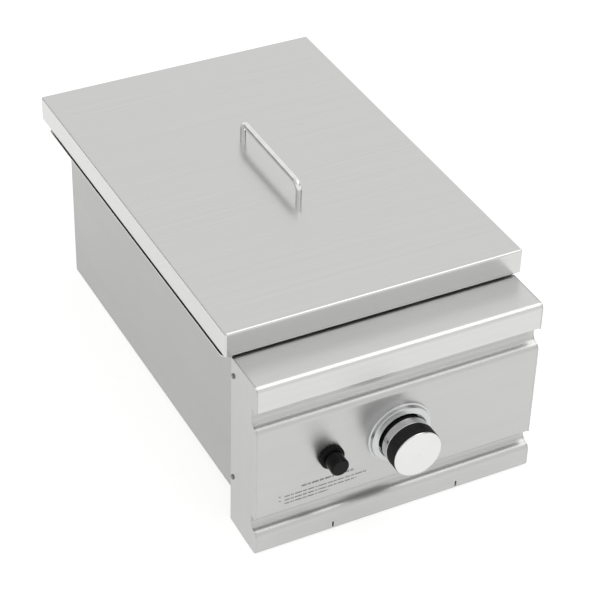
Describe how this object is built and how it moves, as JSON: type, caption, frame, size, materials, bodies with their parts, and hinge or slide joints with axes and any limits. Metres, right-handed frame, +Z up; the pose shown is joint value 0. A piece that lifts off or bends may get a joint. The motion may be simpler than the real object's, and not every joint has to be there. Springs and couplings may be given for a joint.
{
  "type": "built in side burner",
  "caption": "Drop-in outdoor kitchen gas side burner: hanging steel box, front control panel with knob and igniter, burner bowl, grate and flat lift-off lid with a bar handle.",
  "frame": {"origin": "under the middle of the whole unit, level with the foot of the front", "axes": "+X to the right seen from the front, +Y from the knob towards the gas inlet at the back, +Z up"},
  "size_m": [0.3066, 0.5286, 0.2429],
  "materials": {
    "brushed_stainless": "brushed stainless sheet",
    "satin_stainless": "plain mill-finish stainless sheet",
    "polished_steel": "polished rod",
    "chrome_plate": "chrome plated",
    "zinc_steel": "zinc plated steel",
    "cast_aluminium": "sand cast",
    "black_enamel": "matt black enamel",
    "brass": "machined",
    "black_plastic": "moulded",
    "black_rubber": "moulded",
    "ceramic": "glazed ceramic",
    "battery_can": "plain metal can"
  },
  "bodies": {
    "housing": {"top_frame": "brushed_stainless", "drip_pan": "brushed_stainless", "left_side_panel": "satin_stainless", "right_side_panel": "satin_stainless", "rear_panel": "satin_stainless", "base_panel": "satin_stainless", "front_bulkhead": "satin_stainless", "top_ledge": "brushed_stainless", "control_panel": "brushed_stainless", "bottom_rail": "brushed_stainless", "left_end_panel": "brushed_stainless", "right_end_panel": "brushed_stainless", "end_rivets": "polished_steel", "rear_screws": "zinc_steel", "knob_bezel": "chrome_plate", "valve_body": "cast_aluminium", "valve_cover": "brass", "valve_screws": "zinc_steel", "orifice_jet": "brass", "gas_pipe": "cast_aluminium", "pipe_nut": "brass", "pipe_clips": "zinc_steel", "inlet_fitting": "brass", "inlet_locknut": "brass", "venturi_tube": "zinc_steel", "burner_head": "cast_aluminium", "burner_bracket": "zinc_steel", "burner_screws": "zinc_steel", "electrode_insulator": "ceramic", "electrode_rod": "polished_steel", "electrode_nut": "zinc_steel", "igniter_housing": "black_plastic", "igniter_nut": "black_plastic", "igniter_terminals": "brass", "igniter_spring": "polished_steel"},
    "lid": {"lid_shell": "brushed_stainless", "lid_handle": "polished_steel", "handle_screws": "zinc_steel", "lid_bumpers": "black_rubber"},
    "grate": {"cooking_grate": "polished_steel"},
    "burner_cap": {"burner_cap": "black_enamel"},
    "valve_core": {"valve_core": "brass", "stem_spring": "polished_steel"},
    "knob": {"valve_stem": "zinc_steel", "knob_body": "black_plastic", "knob_ring": "chrome_plate", "knob_set_screw": "black_plastic", "knob_grip": "black_rubber", "knob_cap": "polished_steel"},
    "igniter_button": {"igniter_button": "black_plastic", "igniter_battery": "battery_can"},
    "air_shutter": {"air_shutter": "zinc_steel", "shutter_screw": "zinc_steel"}
  },
  "joints": [
    {"name": "lid_lift", "type": "slide", "parent": "housing", "child": "lid", "axis": [0, 0, 1], "range_m": [0, 0.15]},
    {"name": "grate_lift", "type": "slide", "parent": "housing", "child": "grate", "axis": [0, 0, 1], "range_m": [0, 0.012]},
    {"name": "burner_cap_lift", "type": "slide", "parent": "housing", "child": "burner_cap", "axis": [0, 0, 1], "range_m": [0, 0.012]},
    {"name": "valve_turn", "type": "hinge", "parent": "housing", "child": "valve_core", "pos_m": [0, -0.22725, 0.0945], "axis": [0, -1, 0], "range_deg": [0, 240]},
    {"name": "knob_push", "type": "slide", "parent": "valve_core", "child": "knob", "axis": [0, 1, 0], "range_m": [0, 0.0035], "stiffness_N_per_m": 1500, "springref_m": -0.004, "deforming": ["stem_spring"]},
    {"name": "igniter_push", "type": "slide", "parent": "housing", "child": "igniter_button", "axis": [0, 1, 0], "range_m": [0, 0.003], "stiffness_N_per_m": 2000, "springref_m": -0.002, "deforming": ["igniter_spring"]},
    {"name": "shutter_turn", "type": "hinge", "parent": "housing", "child": "air_shutter", "pos_m": [0, -0.15725, 0.0945], "axis": [0, 1, 0], "range_deg": [0, 45]}
  ]
}
